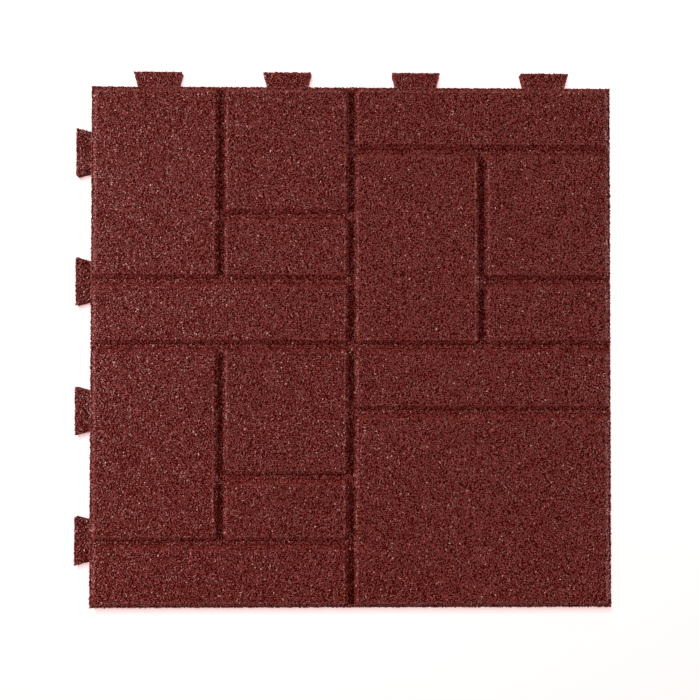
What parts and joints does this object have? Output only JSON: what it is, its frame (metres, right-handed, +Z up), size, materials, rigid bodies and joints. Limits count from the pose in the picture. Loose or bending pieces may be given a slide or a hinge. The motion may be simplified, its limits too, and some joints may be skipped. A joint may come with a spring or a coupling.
{
  "type": "interlocking rubber paver",
  "caption": "Square interlocking paver of bonded rubber crumb, with raised blocks and sunken joints on top, dovetail tabs on two sides and matching sockets under the other two.",
  "frame": {"origin": "centre of the tile's underside, tabs left out", "axes": "+Z up through the walking face, +Y towards the side with the back tabs, -X towards the side with the left tabs"},
  "size_m": [0.6294, 0.6294, 0.0254],
  "materials": {
    "crumb_rubber": "matte bonded crumb"
  },
  "bodies": {
    "root": {"rubber_paver": "crumb_rubber"}
  },
  "joints": []
}
